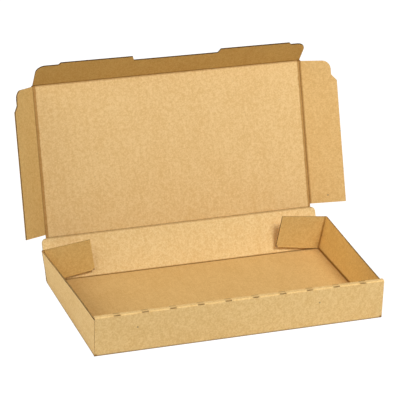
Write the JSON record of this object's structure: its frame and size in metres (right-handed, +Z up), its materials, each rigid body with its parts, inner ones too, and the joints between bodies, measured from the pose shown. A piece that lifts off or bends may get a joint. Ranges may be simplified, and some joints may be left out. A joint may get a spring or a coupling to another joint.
{
  "type": "mailer box",
  "caption": "Shallow die-cut corrugated mailer box, open: tray with rolled-over front, hinged back wall, and tuck-in lid with side flaps and an eared front flap.",
  "frame": {"origin": "middle of the tray's underside, on the surface that the box stands on", "axes": "+X along the front to the right, +Y to the back where the lid is hinged, +Z up"},
  "size_m": [0.3831, 0.2568, 0.2337],
  "materials": {
    "kraft_tray": "matt kraft corrugated board",
    "kraft_back": "matt kraft corrugated board",
    "kraft_lid": "matt kraft corrugated board",
    "kraft_lid_flaps": "matt kraft corrugated board",
    "kraft_corner_flaps": "matt kraft corrugated board"
  },
  "bodies": {
    "tray": {"tray": "kraft_tray"},
    "back_wall": {"back_wall": "kraft_back"},
    "lid": {"lid_panel": "kraft_lid"},
    "lid_front_flap": {"lid_front_flap": "kraft_lid_flaps"},
    "lid_left_flap": {"lid_left_flap": "kraft_lid_flaps"},
    "lid_right_flap": {"lid_right_flap": "kraft_lid_flaps"},
    "left_corner_flap": {"left_corner_flap": "kraft_corner_flaps"},
    "right_corner_flap": {"right_corner_flap": "kraft_corner_flaps"}
  },
  "joints": [
    {"name": "back_wall_hinge", "type": "hinge", "parent": "tray", "child": "back_wall", "pos_m": [0, 0.08825, 0.00075], "axis": [-1, 0, 0], "range_deg": [-26, 60]},
    {"name": "lid_hinge", "type": "hinge", "parent": "back_wall", "child": "lid", "pos_m": [0, 0.10929, 0.04389], "axis": [-1, 0, 0], "range_deg": [-84.8, 6]},
    {"name": "front_flap_hinge", "type": "hinge", "parent": "lid", "child": "lid_front_flap", "pos_m": [0, 0.16709, 0.2027], "axis": [-1, 0, 0], "range_deg": [-40, 50.5]},
    {"name": "right_flap_hinge", "type": "hinge", "parent": "lid", "child": "lid_right_flap", "pos_m": [0.15725, 0.10929, 0.04389], "axis": [0, 0.342, 0.9397], "range_deg": [-68, 24]},
    {"name": "left_flap_hinge", "type": "hinge", "parent": "lid", "child": "lid_left_flap", "pos_m": [-0.15725, 0.10929, 0.04389], "axis": [0, -0.342, -0.9397], "range_deg": [-48, 44]},
    {"name": "right_corner_hinge", "type": "hinge", "parent": "tray", "child": "right_corner_flap", "pos_m": [0.161, 0.0857, 0.0015], "axis": [0.1617, 0, 0.9868], "range_deg": [0, 86]},
    {"name": "left_corner_hinge", "type": "hinge", "parent": "tray", "child": "left_corner_flap", "pos_m": [-0.161, 0.0857, 0.0015], "axis": [0.1617, 0, -0.9868], "range_deg": [0, 86]}
  ]
}
